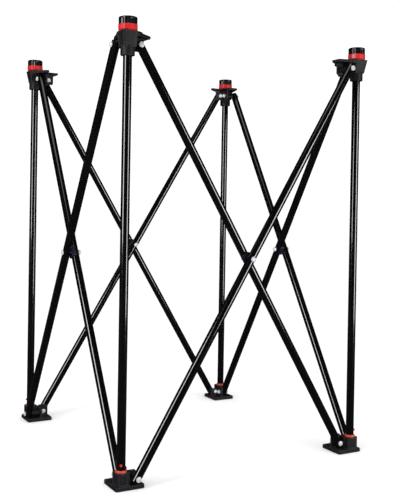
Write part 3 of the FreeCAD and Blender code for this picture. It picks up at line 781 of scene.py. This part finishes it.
def gusset():
    """The web that fills in below the wing where the ear ends."""
    top = HUB_TOP - WING_THICKNESS + MM
    near = EAR_NEAR + EDGE / 2
    bm = plate([(EAR_REACH - EAR_CORNER, near, top), (WING_REACH - WEB_INSET, near, top),
                (EAR_REACH, near, top - WING_DROP / 2), (EAR_REACH - EAR_CORNER, near, top - WING_DROP)],
               (0, EAR_THICKNESS - EDGE, 0))
    return soften(bm, EDGE)


# %% Join the bracket
SLOT_LEFT = -13.2 * MM
SLOT_WIDTH = 2.2 * MM
SLOT_FLOOR = 11.0 * MM
SLOT_ABOVE_HUB_BOTTOM = 4.0 * MM
SLOT_BELOW_HUB_TOP = 5.0 * MM

hub = tapered_block(HUB_BOTTOM, HUB_BOTTOM_OUT, HUB_TOP, HUB_TOP_OUT)
sleeve = rod(SLEEVE_RADIUS, BRACKET_BOTTOM, HUB_BOTTOM + SLEEVE_OVERLAP, TUBE_STEPS)
sleeve = soften(sleeve, SLEEVE_EDGE, 3)
inner_post = block((0, 0, EAR_LOW + EDGE), (EAR_NEAR + MM, EAR_NEAR + MM, HUB_TOP - EDGE))
top_ear = ear(EAR_LOW, HUB_TOP - WING_THICKNESS / 2, EAR_REACH, EAR_LOW)
top_shells = [hub, sleeve, inner_post, top_ear, swapped(top_ear), wing(WING_TIP_WIDTH), deck(WING_TIP_WIDTH),
              swapped(wing(WING_COVER_WIDTH)), swapped(deck(WING_COVER_WIDTH)), gusset(), swapped(gusset()),
              swapped(boss(TOP_PIVOT))]
slot = block((SLOT_LEFT, -HUB_TOP_OUT - MM, HUB_BOTTOM + SLOT_ABOVE_HUB_BOTTOM),
             (SLOT_LEFT + SLOT_WIDTH, -SLOT_FLOOR, HUB_TOP - SLOT_BELOW_HUB_TOP))
post_bore = rod(BORE, BRACKET_BOTTOM - MM, HUB_TOP + MM, TUBE_STEPS)
top_cutters = [post_bore, bolt_hole(TOP_PIVOT), swapped(bolt_hole(TOP_PIVOT)), slot]
bracket_mesh = one_skin("bracket", top_shells, top_cutters)

# %% [markdown]
# ## Foot
#
# The foot is the same idea turned over: a square plate on the floor, a tapered block with the
# post's socket and two ears. A rubber tread with a waffle of grooves is bonded under it, and an
# orange-red collar with a sloping lip guides the post into the socket. A sprung red button in
# the post sits just above.

# %% Foot block
PLATE_TOP = TREAD_TOP + 5 * MM
BLOCK_TOP = PLATE_TOP + 27 * MM
BLOCK_BASE_OUT = TUBE_RADIUS + 9 * MM
BLOCK_TOP_OUT = TUBE_RADIUS + 4.1 * MM
LOW_EAR_TOP = FOOT_PIVOT + 8.5 * MM
FOOT_CORNER = 4.0 * MM
FOOT_EAR_REACH = PIVOT_INSET + 12.5 * MM
SOCKET_FLOOR = 10.0 * MM
SOCKET_RADIUS = TUBE_RADIUS + 0.3 * MM


def foot_plate(low, high, edge):
    bm = block((-FOOT_OUT, -FOOT_OUT, low), (FOOT_IN, FOOT_IN, high))
    bm = bevel(bm, [item for item in bm.edges if is_standing(item)], FOOT_CORNER, 4)
    return soften(bm, edge)


high_ear = swapped(ear(PLATE_TOP - MM, EAR_TOP, FOOT_EAR_REACH, EAR_TOP))
low_ear = ear(PLATE_TOP - MM, LOW_EAR_TOP, FOOT_EAR_REACH, LOW_EAR_TOP)
inner_post = block((0, 0, PLATE_TOP - MM), (EAR_NEAR + MM, EAR_NEAR + MM, BLOCK_TOP - EDGE))
foot_shells = [foot_plate(TREAD_TOP, PLATE_TOP, 0.9 * MM),
               tapered_block(PLATE_TOP - MM, BLOCK_BASE_OUT, BLOCK_TOP, BLOCK_TOP_OUT),
               inner_post, high_ear, low_ear, boss(FOOT_PIVOT)]
socket = rod(SOCKET_RADIUS, SOCKET_FLOOR, EAR_TOP + MM, TUBE_STEPS)
collar_seat = rod(COLLAR_RADIUS + 0.02 * MM, COLLAR_BASE, EAR_TOP + MM, TUBE_STEPS)
foot_cutters = [bolt_hole(FOOT_PIVOT), swapped(bolt_hole(FOOT_PIVOT)), socket, collar_seat]
foot_mesh = one_skin("foot", foot_shells, foot_cutters)

# %% Rubber tread
GROOVES = 11
GROOVE_WIDTH = 1.6 * MM
GROOVE_DEPTH = 1.5 * MM

tread_width = FOOT_OUT + FOOT_IN
tread_cutters = []
for index in range(GROOVES):
    middle = tread_width * (index + 1) / (GROOVES + 1) - FOOT_OUT
    groove = block((middle - GROOVE_WIDTH / 2, -FOOT_OUT - MM, -MM),
                   (middle + GROOVE_WIDTH / 2, FOOT_IN + MM, GROOVE_DEPTH))
    tread_cutters += [groove, swapped(groove)]
tread_mesh = one_skin("tread", [foot_plate(0, TREAD_TOP, 0.3 * MM)], tread_cutters)

# %% Collar and button
COLLAR_NECK = TUBE_RADIUS + 1.75 * MM
FLANGE_RADIUS = 4.2 * MM
COLLAR_LIP = 0.3 * MM
COLLAR_EDGE = 0.45 * MM
BUTTON_RISE = 2.6 * MM
BUTTON_EDGE = 1.4 * MM
FLANGE_SHARE = 0.8
FLANGE_ROOM = 1.0 * MM
FLANGE_THICKNESS = 0.7 * MM

collar = turned([(COLLAR_RADIUS, COLLAR_BASE), (COLLAR_RADIUS, BLOCK_TOP + COLLAR_LIP),
                 (COLLAR_NECK, COLLAR_TOP), (SOCKET_RADIUS, COLLAR_TOP), (SOCKET_RADIUS, COLLAR_BASE)],
                TUBE_STEPS)
collar_mesh = one_skin("collar", [soften(collar, COLLAR_EDGE, 3)])

flange_back = TUBE_RADIUS - TUBE_WALL - BUTTON_CLEARANCE - FLANGE_ROOM
flange_front = flange_back + FLANGE_THICKNESS
flange_out = FLANGE_RADIUS * FLANGE_SHARE
button_tip = TUBE_RADIUS + BUTTON_RISE
button = turned([(0, flange_back), (flange_out, flange_back), (flange_out, flange_front),
                 (BUTTON_RADIUS, flange_front), (BUTTON_RADIUS, button_tip), (0, button_tip)], 40)
rim = [edge for edge in button.edges if edge.calc_face_angle() > HARD_EDGE
       and all(vert.co.z > button_tip - MM for vert in edge.verts)]
button = bevel(button, rim, BUTTON_EDGE, 5)
button = transformed(button, Matrix.Translation((0, 0, BUTTON_HEIGHT)) @ towards(BUTTON_OUTWARD))
button_mesh = one_skin("button", [button])

# %% [markdown]
# ## Bolts and dome nuts
#
# Each pivot is a domed bolt with a washer under its head and a hex socket in its crown. It runs
# through the strut and the ear into a dome nut. Both are made standing on the Z axis, with the
# head outwards at +Z, and are then laid along the pivot.

# %% Bolt and nut
BOLT_RADIUS = 3.0 * MM
HEAD_RADIUS = 5.5 * MM
HEAD_HEIGHT = 3.35 * MM
WASHER_RADIUS = 6.0 * MM
WASHER_THICKNESS = 0.8 * MM
HEX_RADIUS = 2.2 * MM
HEX_DEPTH = 1.6 * MM
NUT_RADIUS = 5.0 * MM / math.cos(math.radians(30))
NUT_HEIGHT = 4.6 * MM
NUT_DOME = 2.6 * MM
DOME_RADIUS = 4.6 * MM


def dome(radius, rise, base, steps=6):
    """Profile points of a shallow dome, from its crown down to its rim."""
    ball = (radius * radius + rise * rise) / (2 * rise)
    widest = math.asin(radius / ball)
    points = []
    for step in range(steps + 1):
        turn = widest * step / steps
        points.append((ball * math.sin(turn), base + rise - ball * (1 - math.cos(turn))))
    return points


def bolt(length):
    """Head and washer above z = 0 and the shank below it."""
    rim_height = WASHER_THICKNESS + HEAD_HEIGHT / 3
    profile = dome(HEAD_RADIUS, HEAD_HEIGHT * 2 / 3, rim_height)
    profile += [(HEAD_RADIUS, WASHER_THICKNESS), (WASHER_RADIUS, WASHER_THICKNESS), (WASHER_RADIUS, 0),
                (BOLT_RADIUS, 0), (BOLT_RADIUS, -length), (0, -length)]
    shell = soften(turned(profile, 40), 0.15 * MM)
    crown = WASHER_THICKNESS + HEAD_HEIGHT
    recess = drum(6, HEX_RADIUS, crown - HEX_DEPTH, crown + MM)
    return one_skin("bolt", [shell], [recess])


def dome_nut():
    """A dome nut whose seat is at z = 0 and whose crown points down."""
    body = drum(6, NUT_RADIUS, -NUT_HEIGHT, 0)
    body = soften(body, 0.4 * MM)
    crown = turned(dome(DOME_RADIUS, NUT_DOME, 0) + [(DOME_RADIUS, -MM), (0, -MM)], 36)
    crown = transformed(crown, Matrix.Translation((0, 0, -NUT_HEIGHT)) @ Matrix.Rotation(math.pi, 4, "X"))
    return one_skin("nut", [body, crown])


def pivot_hardware(layer, nut_face):
    """Bolt and nut for a strut in a layer, on Z through the pivot; nut_face is how far in the nut seats."""
    head_face = layer + TUBE_RADIUS + FACE_GAP
    bm = bmesh.new()
    parts = [(bolt(head_face + nut_face), head_face), (dome_nut(), -nut_face)]
    for mesh, height in parts:
        mesh.transform(Matrix.Translation((0, 0, height)))
        bm.from_mesh(mesh)
    return as_mesh(bm, "hardware")


inner_hardware = pivot_hardware(INNER_LAYER, EAR_FAR)
outer_hardware = pivot_hardware(OUTER_LAYER, EAR_FAR)
cross_hardware = pivot_hardware(OUTER_LAYER, TUBE_RADIUS - INNER_LAYER)

# %% [markdown]
# ## Saddle
#
# Where two struts cross, a navy plastic saddle cradles the inner one and gives the outer one a
# flat face to turn against.

# %% Saddle
SADDLE_HALF_WIDTH = TUBE_RADIUS + 1.25 * MM
SADDLE_LENGTH = 27 * MM
SADDLE_CORNER = 5.0 * MM

saddle_face = OUTER_LAYER - INNER_LAYER - TUBE_RADIUS - FACE_GAP
saddle = block((-SADDLE_HALF_WIDTH, -saddle_face, -SADDLE_LENGTH / 2),
               (SADDLE_HALF_WIDTH, 0, SADDLE_LENGTH / 2))
corners = [edge for edge in saddle.edges if abs((edge.verts[1].co - edge.verts[0].co).normalized().y) > 0.97]
saddle = soften(bevel(saddle, corners, SADDLE_CORNER, 5), 0.6 * MM)
saddle_cutters = [rod(TUBE_RADIUS, -SADDLE_LENGTH, SADDLE_LENGTH, TUBE_STEPS),
                  along_y(rod(BOLT_HOLE, -2 * TUBE_RADIUS, 0, 32), (0, 0, 0))]
saddle_mesh = one_skin("saddle", [saddle], saddle_cutters)

# %% [markdown]
# ## Assembly
#
# Every piece is now copied to its corners or sides. The place goes into the mesh, so the objects
# themselves stay at the origin, as the frame's own nodes do. Each copy rides on the body of the
# node that it stands for, and so folds, lifts or presses with it.

# %% Place pieces
bodies_of = frame["record"]["behaviour"]["bodies"]
body_of_node = {node: body for body, members in bodies_of.items() for node in members}


def put(name, mesh, place, node, slot):
    """Copies a mesh to its place as the piece that stands for a frame node."""
    copy = mesh.copy()
    copy.name = name
    copy.transform(place)
    copy.materials.clear()
    copy.materials.append(FINISHES[slot])
    piece = bpy.data.objects.new(name, copy)
    scene.collection.objects.link(piece)
    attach(piece, body_of_node[node])
    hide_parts(node)
    return piece


def hardware_pair(height, first, second):
    """The two pivots of a corner: first on the side along +X, second on the side along +Y."""
    bm = bmesh.new()
    for mesh, along in ((first, 0), (second, 1)):
        copy = mesh.copy()
        outward = Vector((0, -1, 0)) if along == 0 else Vector((-1, 0, 0))
        pivot = Vector((0, 0, height))
        pivot[along] = PIVOT_INSET
        copy.transform(Matrix.Translation(pivot) @ towards(outward))
        bm.from_mesh(copy)
    return as_mesh(bm, "hardware_pair")


def keep_shading(mesh):
    """Sharp edges and even normals for a mesh that was put together from finished ones."""
    body = bpy.data.objects.new("shading", mesh)
    scene.collection.objects.link(body)
    mesh.shade_smooth()
    mesh.set_sharp_from_angle(angle=HARD_EDGE)
    body.modifiers.new("even_normals", "WEIGHTED_NORMAL").keep_sharp = True
    shaded = bpy.data.meshes.new_from_object(body.evaluated_get(bpy.context.evaluated_depsgraph_get()))
    bpy.data.objects.remove(body)
    return shaded


top_bolts_mesh = keep_shading(hardware_pair(TOP_PIVOT, inner_hardware, outer_hardware))
foot_bolts_mesh = keep_shading(hardware_pair(FOOT_PIVOT, outer_hardware, inner_hardware))
cross_hardware = keep_shading(cross_hardware)

CORNER_PIECES = [
    ("post", post_mesh, "post_tube", "black_tube"),
    ("bracket", bracket_mesh, "top_bracket", "black_nylon"),
    ("ring", ring_mesh, "top_ring", "red_plastic"),
    ("cap", cap_mesh, "top_cap", "cap_plastic"),
    ("button", button_mesh, "snap_button", "red_plastic"),
    ("foot", foot_mesh, "foot_block", "black_nylon"),
    ("tread", tread_mesh, "foot_tread", "tread_rubber"),
    ("collar", collar_mesh, "foot_collar", "collar_plastic"),
    ("top_bolt_pair", top_bolts_mesh, "top_bolts", "zinc_steel"),
    ("foot_bolt_pair", foot_bolts_mesh, "foot_bolts", "zinc_steel"),
]
for index, corner in enumerate(CORNERS):
    quarter_turn = Matrix.Rotation(math.radians(90 * index), 4, "Z")
    place = quarter_turn @ Matrix.Translation((-HALF, -HALF, 0))
    for piece, mesh, node, slot in CORNER_PIECES:
        put(corner + "_" + piece, mesh, place, corner + "_" + node, slot)
    spring = frame["nodes"][corner + "_button_spring"]
    spring.data.materials.clear()
    spring.data.materials.append(FINISHES["spring_steel"])

# %% Place struts, saddles and crossing bolts
for index, side in enumerate(SIDES):
    quarter_turn = Matrix.Rotation(math.radians(90 * index), 4, "Z")
    leans = {"inner": (INNER_LAYER, -STRUT_LEAN), "outer": (OUTER_LAYER, STRUT_LEAN)}
    for layer_name, (layer, lean) in leans.items():
        strut_middle = Matrix.Translation((0, -HALF - layer, CROSSING))
        place = quarter_turn @ strut_middle @ Matrix.Rotation(lean, 4, "Y")
        node = side + "_" + layer_name + "_strut"
        put(node + "_tube", strut_mesh, place, node, "black_tube")
        if layer_name == "inner":
            put(side + "_saddle", saddle_mesh, place, side + "_cross_saddle", "saddle_plastic")
    middle = quarter_turn @ Matrix.Translation((0, -HALF, CROSSING)) @ towards(Vector((0, -1, 0)))
    put(side + "_crossing_bolt", cross_hardware, middle, side + "_cross_bolt", "zinc_steel")
